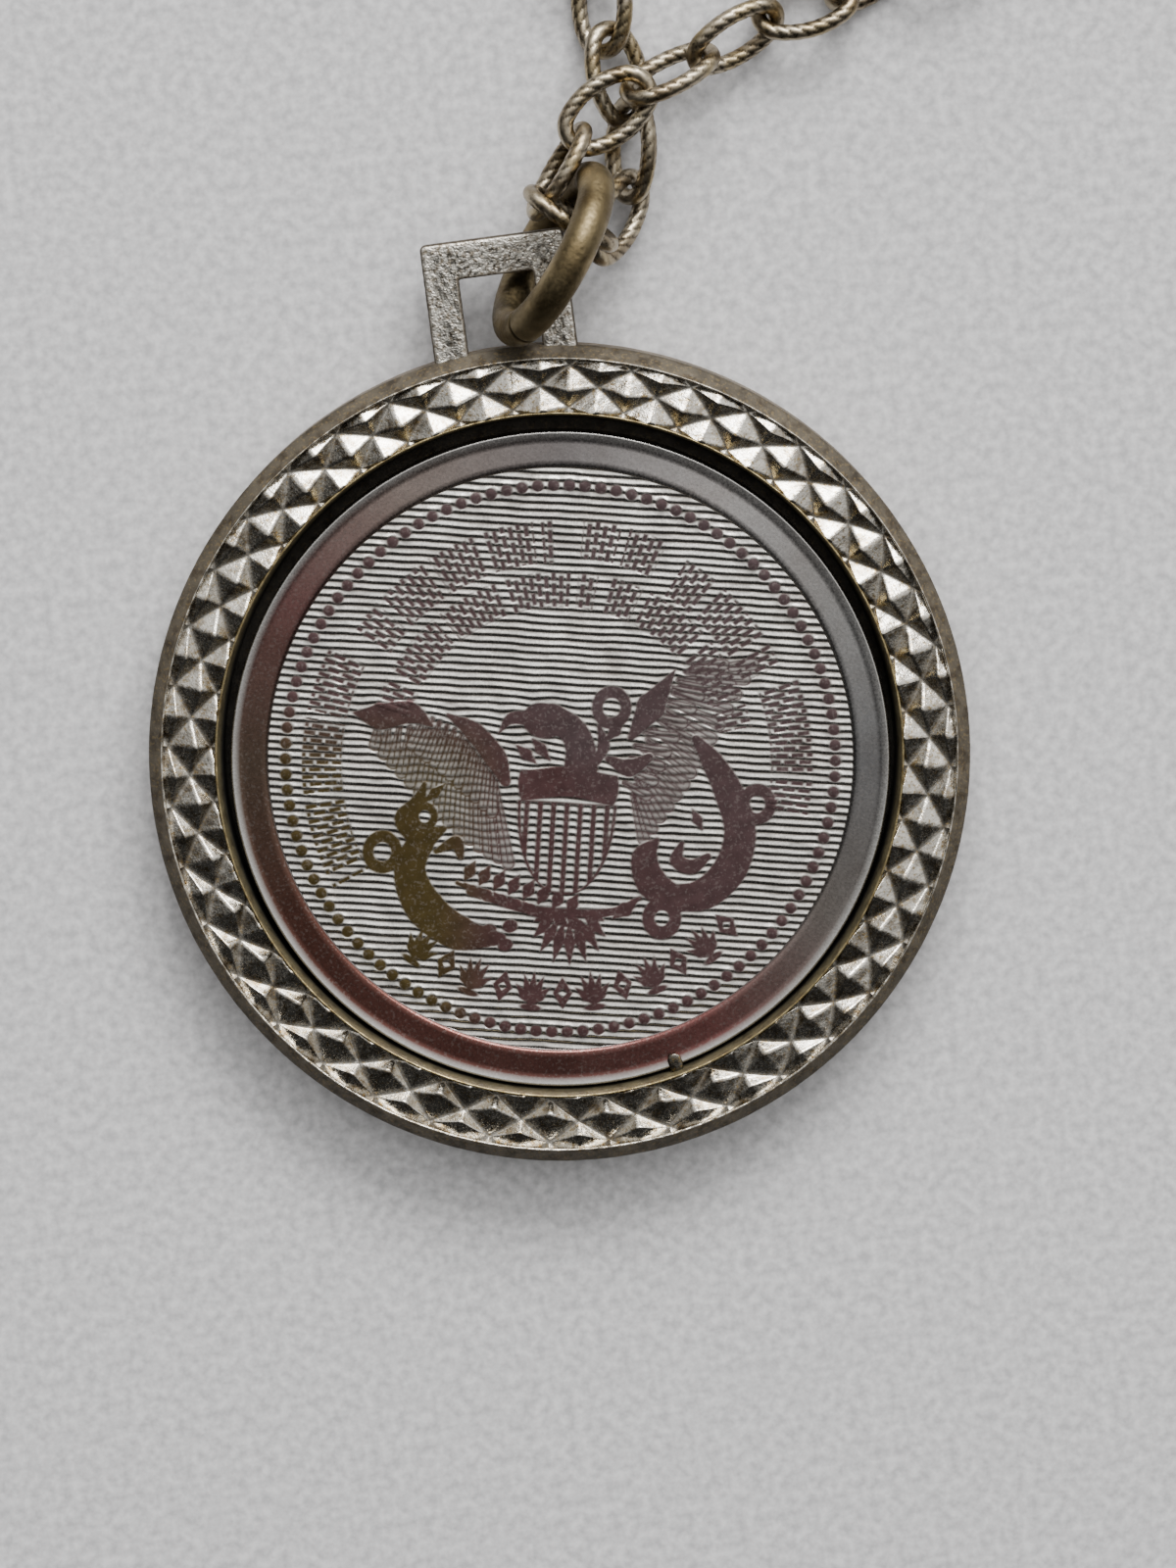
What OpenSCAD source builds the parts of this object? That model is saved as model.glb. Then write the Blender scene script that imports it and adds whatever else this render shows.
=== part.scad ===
// Coin medallion pendant with a diamond-cut bezel, a square bail, a wire ring and a cable chain.
// The origin is on the bezel's axis at its back face, +Z is the way the coin faces, and +Y goes
// to the bail. Everything lies on a table at z = 0.

/* [Coin] */
// Coin diameter
coin_d = 34.4; // [34:0.1:34.5]
// Coin thickness at its rim
coin_t = 2.6; // [2.2:0.1:2.8]
// Diameter inside the polished border
coin_field_d = 30.6; // [28:0.1:31]
// How far the coin has dropped in its pocket, away from the bail
coin_drop = 0.3; // [0:0.05:0.3]
// How far the field lies below the rim
field_drop = 0.35; // [0.2:0.05:0.5]

/* [Bezel] */
// Outside diameter of the bezel
bezel_d = 42.8; // [42.4:0.1:43]
// Thickness of the bezel
bezel_t = 4.7; // [4.7:0.1:5]
// Width of the bevel at the outer edge
bevel = 0.75; // [0.5:0.05:0.8]
// Diameter of the opening in front of the coin
front_bore_d = 35.6; // [35.2:0.1:36]
// Diameter of the opening in the back
back_bore_d = 31; // [30:0.1:32]
// Thickness of the back flange that the coin rests on
back_flange_t = 0.9; // [0.7:0.1:1]

/* [Bail] */
// Width of the square bail
bail_w = 7.5; // [7.4:0.1:7.6]
// Width of the bail's window
window_w = 3.9; // [3.8:0.05:4]
// Distance from the bezel's axis to the inside of the top bar
window_top = 25.2; // [25.1:0.1:25.4]
// Width of the top bar, seen from the front
bar_w = 2; // [1.9:0.05:2]
// Thickness of the bail, front to back
bail_t = 1.6; // [1.5:0.1:1.6]
// Height of the bail's back above the bezel's back
bail_z = 2.4; // [2.4:0.05:2.5]

/* [Wire ring] */
// Outside diameter of the wire ring in the bail
ring_d = 10.5; // [10.4:0.1:10.5]
// Diameter of its wire
ring_wire = 1.9; // [1.8:0.05:1.9]

/* [Chain] */
// Outside length of a chain link
link_l = 5.8; // [5.76:0.01:5.82]
// Outside width of a chain link
link_w = 3.74; // [3.7:0.01:3.76]
// Diameter of a link's wire
link_wire = 0.85; // [0.8:0.01:0.85]
// Links in the left coil
left_links = 40; // [24:4:40]
// Links in the right coil
right_links = 44; // [24:4:44]
// Radius of a coil's outer turn, to the middle of the chain
coil_r = 16; // [15:0.5:16]
// Distance from one turn of a coil to the next
coil_step = 3.6; // [3.5:0.05:3.8]

/* [Clasp] */
// Outside diameter of the clasp ring
clasp_d = 6.6; // [6.4:0.1:6.8]
// Diameter of the clasp ring's tube
clasp_tube = 1.6; // [1.5:0.05:1.7]
// Diameter of the gate's wire
gate_wire = 0.8; // [0.7:0.05:0.85]
// How far the gate turns back into the tube, in degrees
gate_travel = 65; // [50:5:70]

/* [Hidden] */
coil_nodes = 4;
$fn = 96;

// The coin sits on the back flange, in a pocket with room for its drop and a hair of play.
coin_play = 0.05;
coin_z = back_flange_t + coin_play;
coin_top = coin_z + coin_t;
pocket_r = coin_d / 2 + coin_drop + 2 * coin_play;
bezel_r = bezel_d / 2;
face_r = bezel_r - bevel;
gap_depth = 0.6;
bar_top = window_top + bar_w;

// One small burr, raised from the inner wall with a punch, keeps the coin in.
burr_angle = -77;
burr_w = 1;
burr_reach = 0.5;
burr_t = 0.35;

// The wire ring leans in the bail: its centre, the way it faces and how steeply it stands.
ring_r = (ring_d - ring_wire) / 2;
ring_centre = [3.1, 25.9, 5.2];
ring_turn = 54;
ring_lean = 77;

// The chain is set out in a frame turned by this much from the pendant's own.
lay_turn = 7.5;

// A link's centreline is an oval of four arcs.
half_l = (link_l - link_wire) / 2;
half_w = (link_w - link_wire) / 2;
end_r = 1.15;
end_x = half_l - end_r;
side_r = (end_x * end_x + half_w * half_w - end_r * end_r) / (2 * (half_w - end_r));
end_half = atan2(side_r - half_w, end_x);
// The chain has worn the ends of its links a hair thinner than their sides.
end_wear = 0.02;
end_run = 2;
link_slack = 0.15;
link_pitch = link_l - 2 * link_wire - link_slack;
rest_z = half_w * sin(45) + link_wire / 2;

// The ten links next to the wire ring, in order along the chain from the left coil to the
// right one: where each link's middle is, then its heading, tip and roll.
LINKS = [
    [2.2, 38.9, 1.5, 92, -1, -35],
    [3.0, 35.2, 1.8, 103, -3, 34],
    [3.7, 31.4, 2.0, 88, 3, -50],
    [3.0, 27.9, 2.8, 58, -32, 46],
    [0.6, 27.9, 4.9, -32, -14, -82],
    [0.0, 30.3, 4.2, 60, -1, -76],
    [2.5, 33.4, 4.0, 37, -6, 5],
    [5.7, 35.3, 3.2, 29, -19, -59],
    [9.1, 37.2, 2.2, 30, -10, 46],
    [12.7, 38.8, 1.6, 16, -3, -28]
];

// From each end of those, a lead of a few links goes to a coil: where the lead starts, and
// the heading of each of its links.
left_start = [2.05, 40.8];
LEFT_HEADINGS = [120, 148, 174, 178, 180];
right_start = [14.55, 39.35];
RIGHT_HEADINGS = [35];

// The clasp hangs on a jump ring. The other end of the chain has a plain ring. Each lies
// across the link before it: how far its middle is from the joint, how high, its tip and roll.
jump_r = 1.75;
jump_wire = 0.7;
jump_turn = 35;
jump_in = 1.14;
jump_out = 1.04;
jump_lay = [1.84, 15, -57];
end_ring_r = 2.15;
end_ring_wire = 0.7;
end_in = 1.56;
end_lay = [1.9, 20, -42];

// The clasp is a split tube ring with a small loop opposite its mouth. A wire gate slides
// round inside the tube, pushed by its stud through a slot and returned by a spring.
tube_r = (clasp_d - clasp_tube) / 2;
mouth = 32;
bore_d = gate_wire + 0.2;
bore_end = 212;
socket_depth = 12;
loop_r = 1.1;
loop_wire = 0.6;
loop_x = clasp_d / 2 + loop_r + loop_wire / 2 - 0.2;
loop_in = 0.75;
clasp_turn = 15;
clasp_lay = [1.31, -11, 180];
gate_start = -40;
gate_end = 66;
stud_angle = 50;
stud_d = 0.6;
stud_reach = 1.35;
slot_end_play = 10;
slot_w = 0.8;
spring_wire = 0.1;
spring_turns = 14;
spring_steps = 10;
spring_sides = 6;
spring_end_play = 2;

function coil_radius(angle) = coil_r - coil_step * angle / 360;

// A coil is a flat spiral that starts at its outside. The chain's joints lie on it, one
// pitch apart, and coil_angle(i) is how far round joint number i is.
function coil_angle(i) = i == 0 ? 0
    : let (a = coil_angle(i - 1)) a + 2 * asin(link_pitch / 2 / coil_radius(a));

function coil_joint(i) = let (a = coil_angle(i)) coil_radius(a) * [cos(a), sin(a)];

// The heading of link number i, for a coil that runs anticlockwise from the angle 0
function coil_heading(i) = let (a = coil_joint(i), b = coil_joint(i + 1)) atan2(b[1] - a[1], b[0] - a[0]);

function polar(r, angle) = r * [cos(angle), sin(angle)];

// Where a lead with these headings is after n links
function lead_joint(start, headings, n) = n == 0 ? start
    : lead_joint(start, headings, n - 1) + link_pitch * [cos(headings[n - 1]), sin(headings[n - 1])];

// Each coil starts at its side nearest the pendant, straight above its lead's end.
left_end = lead_joint(left_start, LEFT_HEADINGS, len(LEFT_HEADINGS));
right_end = lead_joint(right_start, RIGHT_HEADINGS, len(RIGHT_HEADINGS));
left_centre = left_end + [0, coil_r];
right_centre = right_end + [0, coil_r];

// Where each coil ends, and how its last link is headed there
left_turn = -90 - coil_angle(left_links);
right_turn = -90 + coil_angle(right_links);
left_joint = left_centre + polar(coil_radius(coil_angle(left_links)), left_turn);
right_joint = right_centre + polar(coil_radius(coil_angle(right_links)), right_turn);
jump_heading = -90 - coil_heading(left_links - 1) - jump_turn;
clasp_heading = jump_heading - clasp_turn;
end_heading = -90 + coil_heading(right_links - 1);
jump_place = left_joint + polar(jump_in, jump_heading);
clasp_place = jump_place + polar(jump_out, jump_heading) + polar(loop_in + loop_x, clasp_heading);
end_place = right_joint + polar(end_in, end_heading);

// Part of a round bar bent to an arc of radius r about the Z axis, from angle a0 to a1
module bent_bar(r, wire, a0, a1) {
    rotate([0, 0, a0]) rotate_extrude(angle = a1 - a0) translate([r, 0]) circle(d = wire, $fn = 24);
}

module wire_hoop(r, wire) {
    rotate_extrude() translate([r, 0]) circle(d = wire, $fn = 24);
}

// One oval link, lying flat with its length along X. Its ends run a little way into its sides.
module link() {
    for (s = [0, 180]) rotate([0, 0, s]) {
        translate([end_x, 0, 0])
            bent_bar(end_r, link_wire - end_wear, -end_half - end_run, end_half + end_run);
        translate([0, half_w - side_r, 0]) bent_bar(side_r, link_wire, end_half, 180 - end_half);
    }
}

// A place in the chain's frame, turned to a heading, then tipped up and rolled
module lay(place, heading, tip = 0, roll = 0) {
    rotate([0, 0, -lay_turn]) translate(place) rotate([0, 0, heading]) rotate([0, -tip, 0])
        rotate([roll, 0, 0]) children();
}

// A place on the table, a heading, and how high a piece lies there, its tip and its roll
module lay_at(place, heading, how) {
    lay([place[0], place[1], how[0]], heading, how[1], how[2]) children();
}

module bail_outline() {
    root = bezel_r - 1.2;
    difference() {
        translate([-bail_w / 2, root]) square([bail_w, bar_top - root]);
        translate([-window_w / 2, 0]) square([window_w, window_top]);
    }
}

// The bezel and its bail are one casting, with the burr raised from its inner wall.
module bezel_frame() {
    color("silver") {
        difference() {
            union() {
                rotate_extrude() polygon([
                    [0, 0], [face_r, 0], [bezel_r, bevel], [bezel_r, bezel_t - bevel],
                    [face_r, bezel_t], [0, bezel_t]
                ]);
                translate([0, 0, bail_z]) linear_extrude(bail_t) bail_outline();
            }
            translate([0, 0, -1]) cylinder(d = back_bore_d, h = bezel_t + 2);
            translate([0, 0, back_flange_t]) cylinder(r = pocket_r, h = bezel_t);
            translate([0, 0, coin_top - gap_depth]) cylinder(d = front_bore_d, h = bezel_t);
        }
        rotate([0, 0, burr_angle]) translate([coin_d / 2 - burr_reach, -burr_w / 2, coin_top + coin_play])
            cube([front_bore_d / 2 + 0.3 - coin_d / 2 + burr_reach, burr_w, burr_t]);
    }
}

// The struck coin has a flat band round its edge and a sunk field on each side.
module coin() {
    r = coin_d / 2;
    field_r = coin_field_d / 2;
    edge = 0.1;
    slope = 0.2;
    color("goldenrod") translate([0, -coin_drop, coin_z]) rotate_extrude() polygon([
        [0, field_drop], [field_r, field_drop], [field_r + slope, 0], [r - edge, 0], [r, edge],
        [r, coin_t - edge], [r - edge, coin_t], [field_r + slope, coin_t],
        [field_r, coin_t - field_drop], [0, coin_t - field_drop]
    ]);
}

module bail_ring() {
    color("darkkhaki") translate(ring_centre) rotate([0, 0, ring_turn]) rotate([-ring_lean, 0, 0])
        wire_hoop(ring_r, ring_wire);
}

module chain_link(n) {
    p = LINKS[n - 1];
    color("silver") lay([p[0], p[1], p[2]], p[3], p[4], p[5]) link();
}

module lead(start, headings) {
    for (i = [0:len(headings) - 1]) {
        middle = (lead_joint(start, headings, i) + lead_joint(start, headings, i + 1)) / 2;
        color("silver") lay([middle[0], middle[1], rest_z], headings[i], 0, i % 2 == 0 ? 45 : -45) link();
    }
}

// Links first to last of a coil. It starts at the angle -90 and runs anticlockwise if side
// is 1, clockwise if it is -1; roll is its first link's roll.
module coil(centre, side, roll, first, last) {
    for (i = [first:last]) {
        a = coil_joint(i);
        b = coil_joint(i + 1);
        middle = centre + polar(norm(a + b) / 2, side * atan2(a[1] + b[1], a[0] + b[0]) - 90);
        color("silver") lay([middle[0], middle[1], rest_z], side * coil_heading(i) - 90, 0,
            i % 2 == 0 ? roll : -roll) link();
    }
}

// One of the coil_nodes equal lengths of a coil
module coil_length(centre, side, roll, links, n) {
    share = links / coil_nodes;
    coil(centre, side, roll, (n - 1) * share, n * share - 1);
}

module clasp_jump_ring() {
    color("goldenrod") lay_at(jump_place, jump_heading, jump_lay) wire_hoop(jump_r, jump_wire);
}

module end_ring() {
    color("goldenrod") lay_at(end_place, end_heading, end_lay) wire_hoop(end_ring_r, end_ring_wire);
}

module clasp_ring() {
    slot_start = stud_angle - slot_end_play;
    slot_turn = gate_travel + 2 * slot_end_play;
    color("goldenrod") lay_at(clasp_place, clasp_heading, clasp_lay) difference() {
        union() {
            bent_bar(tube_r, clasp_tube, mouth, 360 - mouth);
            translate([-loop_x, 0, 0]) wire_hoop(loop_r, loop_wire);
        }
        bent_bar(tube_r, bore_d, mouth - 1, bore_end);
        bent_bar(tube_r, bore_d, -mouth - socket_depth, 1 - mouth);
        rotate([0, 0, slot_start]) rotate_extrude(angle = slot_turn)
            translate([tube_r, -slot_w / 2]) square([clasp_tube, slot_w]);
    }
}

module clasp_gate() {
    color("silver") lay_at(clasp_place, clasp_heading, clasp_lay) {
        bent_bar(tube_r, gate_wire, gate_start, gate_end);
        rotate([0, 0, stud_angle]) translate([tube_r, 0, 0]) rotate([0, 90, 0]) {
            cylinder(d = stud_d, h = stud_reach, $fn = 24);
            translate([0, 0, stud_reach]) sphere(d = 1.5 * stud_d, $fn = 24);
        }
    }
}

// A coiled wire bent along the tube, between the gate's end and the end of the bore
module clasp_spring() {
    start = gate_end + spring_end_play;
    turn = bore_end - spring_end_play - start;
    r = bore_d / 2 - spring_wire;
    steps = spring_turns * spring_steps;
    points = [for (i = [0:steps], k = [0:spring_sides - 1])
        let (
            along = start + turn * i / steps,
            round_tube = 360 * i / spring_steps,
            side = 360 * k / spring_sides,
            out = r + spring_wire / 2 * cos(side),
            ahead = spring_wire / 2 * sin(side),
            from_axis = tube_r + out * cos(round_tube)
        )
        [from_axis * cos(along) - ahead * sin(along), from_axis * sin(along) + ahead * cos(along),
            out * sin(round_tube)]
    ];
    walls = [for (i = [0:steps - 1], k = [0:spring_sides - 1])
        let (next = (k + 1) % spring_sides, row = i * spring_sides)
        [row + k, row + next, row + spring_sides + next, row + spring_sides + k]
    ];
    caps = [
        [for (k = [0:spring_sides - 1]) spring_sides - 1 - k],
        [for (k = [0:spring_sides - 1]) steps * spring_sides + k]
    ];
    color("silver") lay_at(clasp_place, clasp_heading, clasp_lay) polyhedron(points, concat(caps, walls));
}

bezel_frame();
coin();
bail_ring();
for (n = [1:len(LINKS)]) chain_link(n);
lead(left_start, LEFT_HEADINGS);  // left_lead
lead(right_start, RIGHT_HEADINGS);  // right_lead
for (n = [1:coil_nodes]) {
    coil_length(left_centre, -1, -45, left_links, n);
    coil_length(right_centre, 1, -45, right_links, n);
}
clasp_jump_ring();
clasp_ring();
clasp_gate();
clasp_spring();
end_ring();
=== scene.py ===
import math

import bpy
import numpy as np
from mathutils import Matrix, Vector


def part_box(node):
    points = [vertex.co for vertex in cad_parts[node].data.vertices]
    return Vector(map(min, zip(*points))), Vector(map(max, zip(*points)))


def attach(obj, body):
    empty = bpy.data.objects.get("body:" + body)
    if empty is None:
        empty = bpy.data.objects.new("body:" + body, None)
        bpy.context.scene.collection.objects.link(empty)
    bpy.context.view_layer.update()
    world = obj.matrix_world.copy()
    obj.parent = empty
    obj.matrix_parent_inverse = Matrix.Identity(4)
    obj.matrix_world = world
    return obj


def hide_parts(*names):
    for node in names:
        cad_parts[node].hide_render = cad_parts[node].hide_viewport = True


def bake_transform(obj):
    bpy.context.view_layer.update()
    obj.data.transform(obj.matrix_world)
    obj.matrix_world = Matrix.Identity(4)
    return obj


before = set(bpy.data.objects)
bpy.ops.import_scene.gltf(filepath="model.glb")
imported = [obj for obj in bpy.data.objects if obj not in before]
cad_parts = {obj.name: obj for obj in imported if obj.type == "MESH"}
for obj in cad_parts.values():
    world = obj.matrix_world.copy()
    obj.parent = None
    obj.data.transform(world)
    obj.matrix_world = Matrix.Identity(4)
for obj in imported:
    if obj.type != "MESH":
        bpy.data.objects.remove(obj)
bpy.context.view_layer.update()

MM = 0.001
TAU = 2 * math.pi

# ---------------------------------------------------------------- design, as in part.scad
COIN_R, COIN_Z, COIN_TOP, FIELD_R, FIELD_DROP, COIN_DROP = 17.2, 0.95, 3.55, 15.3, 0.35, 0.3
FACE_R, BEZEL_R, BEZEL_T, BEVEL = 20.65, 21.4, 4.7, 0.75
FRONT_R, POCKET_R, BACK_R, FLANGE_T, BURR_ANGLE = 17.8, 17.6, 15.5, 0.9, -77
LAY_TURN = 7.5
LINK_L, LINK_W, LINK_WIRE, END_R = 5.8, 3.74, 0.85, 1.15
HALF_L, HALF_W = (LINK_L - LINK_WIRE) / 2, (LINK_W - LINK_WIRE) / 2
END_X = HALF_L - END_R
SIDE_R = (END_X ** 2 + HALF_W ** 2 - END_R ** 2) / (2 * (HALF_W - END_R))
END_HALF = math.atan2(SIDE_R - HALF_W, END_X)
LINK_PITCH = LINK_L - 2 * LINK_WIRE - 0.15
REST_Z = HALF_W * math.sin(math.radians(45)) + LINK_WIRE / 2
LINKS = [
    (2.2, 38.9, 1.5, 92, -1, -35), (3.0, 35.2, 1.8, 103, -3, 34), (3.7, 31.4, 2.0, 88, 3, -50),
    (3.0, 27.9, 2.8, 58, -32, 46), (0.6, 27.9, 4.9, -32, -14, -82), (0.0, 30.3, 4.2, 60, -1, -76),
    (2.5, 33.4, 4.0, 37, -6, 5), (5.7, 35.3, 3.2, 29, -19, -59), (9.1, 37.2, 2.2, 30, -10, 46),
    (12.7, 38.8, 1.6, 16, -3, -28),
]
LEADS = {"left": ((2.05, 40.8), (120, 148, 174, 178, 180)), "right": ((14.55, 39.35), (35,))}
COIL_R, COIL_STEP = 16, 3.6
COILS = {"left": (-1, 40), "right": (1, 44)}
COIL_ROLL = -45
RING_CENTRE, RING_TURN, RING_LEAN, RING_R, RING_WIRE = (3.1, 25.9, 5.2), 54, 77, 4.3, 1.9


# ---------------------------------------------------------------- camera and light
def rot(axis, degrees):
    return np.array(Matrix.Rotation(math.radians(degrees), 3, axis))


def picture_to_row(u, v):
    return (rot("Z", -LAY_TURN) @ np.array([u, v, 0.0]))[:2]


def aim(obj, target, up):
    forward = (Vector(target) - obj.location).normalized()
    right = forward.cross(Vector(up)).normalized()
    top = right.cross(forward)
    obj.rotation_euler = Matrix((right, top, -forward)).transposed().to_euler()


scene = bpy.context.scene
PICTURE_UP = Vector((*picture_to_row(0, 1), 0))
PICTURE_RIGHT = Vector((*picture_to_row(1, 0), 0))
cam_data = bpy.data.cameras.new("camera")
camera = bpy.data.objects.new("camera", cam_data)
scene.collection.objects.link(camera)
scene.camera = camera
CAM_DIST, CAM_TILT, VIEW_H = 0.330, 6.5, 0.0818
target = Vector((*(picture_to_row(1.48, -1.53) * MM), 0.0035))
camera.location = target + CAM_DIST * (
    math.sin(math.radians(CAM_TILT)) * PICTURE_UP + math.cos(math.radians(CAM_TILT)) * Vector((0, 0, 1)))
aim(camera, target, PICTURE_UP)
cam_data.sensor_fit = "VERTICAL"
cam_data.sensor_height = 36
cam_data.lens = 36 * CAM_DIST / VIEW_H
cam_data.clip_start, cam_data.clip_end = 0.01, 20


def sky_way(azimuth, elevation):
    """Unit vector to a place in the sky; azimuth counts from picture right towards picture top."""
    a, e = math.radians(azimuth), math.radians(elevation)
    level = math.cos(a) * PICTURE_RIGHT + math.sin(a) * PICTURE_UP
    return math.cos(e) * level + math.sin(e) * Vector((0, 0, 1))


def area_light(name, azimuth, elevation, distance, size, power, glossy=True):
    """A soft light that looks at the origin; without glossy it isn't seen in the metal."""
    data = bpy.data.lights.new(name, "AREA")
    data.shape, data.size, data.size_y = "RECTANGLE", size[0], size[1]
    data.energy, data.color = power, (1.0, 0.985, 0.96)
    obj = bpy.data.objects.new(name, data)
    scene.collection.objects.link(obj)
    obj.location = distance * sky_way(azimuth, elevation)
    aim(obj, (0, 0, 0), sky_way(azimuth, elevation - 90))
    obj.visible_glossy = glossy


area_light("key", 78, 38, 0.8, (0.55, 0.30), 9.0)
area_light("fill", 90, 78, 0.9, (0.9, 0.9), 5.0, glossy=False)


def wire(tree, node, sockets):
    """Gives each socket its value; another node's output is linked to it."""
    for socket, value in sockets.items():
        if isinstance(value, bpy.types.NodeSocket):
            tree.links.new(value, node.inputs[socket])
        else:
            node.inputs[socket].default_value = value


def node_of(tree, kind, sockets, **settings):
    made = tree.nodes.new(kind)
    for key, value in settings.items():
        setattr(made, key, value)
    wire(tree, made, sockets)
    return made


def ramp_of(tree, value, *stops):
    """A colour ramp through stops, each a place and a colour."""
    ramp = node_of(tree, "ShaderNodeValToRGB", {0: value})
    for k, (at, colour) in enumerate(stops):
        stop = ramp.color_ramp.elements[k] if k < 2 else ramp.color_ramp.elements.new(at)
        stop.position, stop.color = at, (*colour, 1)
    return ramp.outputs[0]


def map_range(tree, value, to, given=(0, 1)):
    sockets = {"Value": value, "From Min": given[0], "From Max": given[1], "To Min": to[0], "To Max": to[1]}
    return node_of(tree, "ShaderNodeMapRange", sockets).outputs[0]


def noise_of(tree, place, scale, detail):
    sockets = {"Vector": place, "Scale": scale, "Detail": detail}
    return node_of(tree, "ShaderNodeTexNoise", sockets).outputs["Fac"]


SKY_STOPS = ((0.50, 0.025), (0.62, 0.10), (0.71, 0.30), (0.80, 0.75), (0.90, 1.0))
SKY_TINT = np.array([1.0, 0.99, 0.97])
world = bpy.data.worlds.new("studio")
scene.world = world
world.use_nodes = True
sky = world.node_tree
sky.nodes.clear()
way = node_of(sky, "ShaderNodeTexCoord", {}).outputs["Generated"]
facing = node_of(sky, "ShaderNodeVectorMath", {0: way, 1: sky_way(72, 30)}, operation="DOT_PRODUCT")
sky_share = map_range(sky, facing.outputs["Value"], (0, 1), (-1, 1))
sky_colour = ramp_of(sky, sky_share, *((at, level * SKY_TINT) for at, level in SKY_STOPS))
backdrop = node_of(sky, "ShaderNodeBackground", {"Color": sky_colour, "Strength": 1.0})
node_of(sky, "ShaderNodeOutputWorld", {0: backdrop.outputs[0]})


# ---------------------------------------------------------------- mesh helpers
def face_groups(faces):
    """Faces as arrays, one for each number of corners."""
    if isinstance(faces, np.ndarray):
        return [faces]
    if isinstance(faces, tuple):
        return list(faces)
    groups = {}
    for f in faces:
        groups.setdefault(len(f), []).append(f)
    return [np.array(g) for g in groups.values()]


def mesh_object(name, verts, faces, smooth=True, tones=None):
    """An object from points in millimetres. tones is a colour per point, for the material."""
    groups = face_groups(faces)
    mesh = bpy.data.meshes.new(name)
    mesh.vertices.add(len(verts))
    mesh.vertices.foreach_set("co", (np.asarray(verts, float) * MM).ravel())
    corners = np.concatenate([g.ravel() for g in groups])
    totals = np.concatenate([np.full(len(g), g.shape[1]) for g in groups])
    mesh.loops.add(len(corners))
    mesh.loops.foreach_set("vertex_index", corners.astype(np.int32))
    mesh.polygons.add(len(totals))
    mesh.polygons.foreach_set("loop_start", (np.cumsum(totals) - totals).astype(np.int32))
    mesh.polygons.foreach_set("use_smooth", np.full(len(totals), smooth))
    mesh.update(calc_edges=True)
    mesh.validate()
    if tones is not None:
        layer = mesh.color_attributes.new("tone", "FLOAT_COLOR", "POINT")
        data = np.ones((len(verts), 4))
        data[:, :tones.shape[1]] = tones
        layer.data.foreach_set("color", data.ravel())
    obj = bpy.data.objects.new(name, mesh)
    scene.collection.objects.link(obj)
    return obj


def grid_faces(rows, cols, wrap_rows=False, wrap_cols=False, start=0):
    i = np.arange(rows if wrap_rows else rows - 1)
    j = np.arange(cols if wrap_cols else cols - 1)
    ii, jj = np.meshgrid(i, j, indexing="ij")
    ni, nj = (ii + 1) % rows, (jj + 1) % cols
    quads = np.stack([ii * cols + jj, ii * cols + nj, ni * cols + nj, ni * cols + jj], axis=-1)
    return quads.reshape(-1, 4) + start


class Bag:
    """Points, faces and tones of several shells, to make one object of."""

    def __init__(self):
        self.verts, self.faces, self.tones, self.count = [], [], [], 0

    def add(self, verts, faces, tone):
        verts = np.asarray(verts, float)
        tone = np.atleast_2d(np.asarray(tone, float))
        if tone.shape[1] == 3:
            tone = np.hstack([tone, np.ones((len(tone), 1))])
        self.verts.append(verts)
        self.tones.append(np.broadcast_to(tone, (len(verts), 4)))
        self.faces += [g + self.count for g in face_groups(faces)]
        self.count += len(verts)

    def make(self, name, smooth=True):
        verts, tones = np.concatenate(self.verts), np.concatenate(self.tones)
        return mesh_object(name, verts, tuple(self.faces), smooth, tones)


def smoothstep(low, high, x):
    t = np.clip((x - low) / (high - low), 0, 1)
    return t * t * (3 - 2 * t)


def wave_noise(points, scale, seed=0, octaves=3):
    """Smooth noise from -1 to 1 at each point, built from a fixed set of sine waves."""
    rng = np.random.default_rng(seed)
    total, weight = np.zeros(len(points)), 0
    for octave in range(octaves):
        k = (2 ** octave) / scale
        for _ in range(6):
            way = rng.normal(size=3)
            way /= np.linalg.norm(way)
            turns = points @ way * k * TAU * rng.uniform(0.6, 1.4)
            total += np.sin(turns + rng.uniform(0, TAU)) / 2 ** octave
        weight += 2.5 / 2 ** octave
    return np.clip(total / weight, -1, 1)


# ---------------------------------------------------------------- materials
PIT_WIDTH = (0.05, 0.28)


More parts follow.
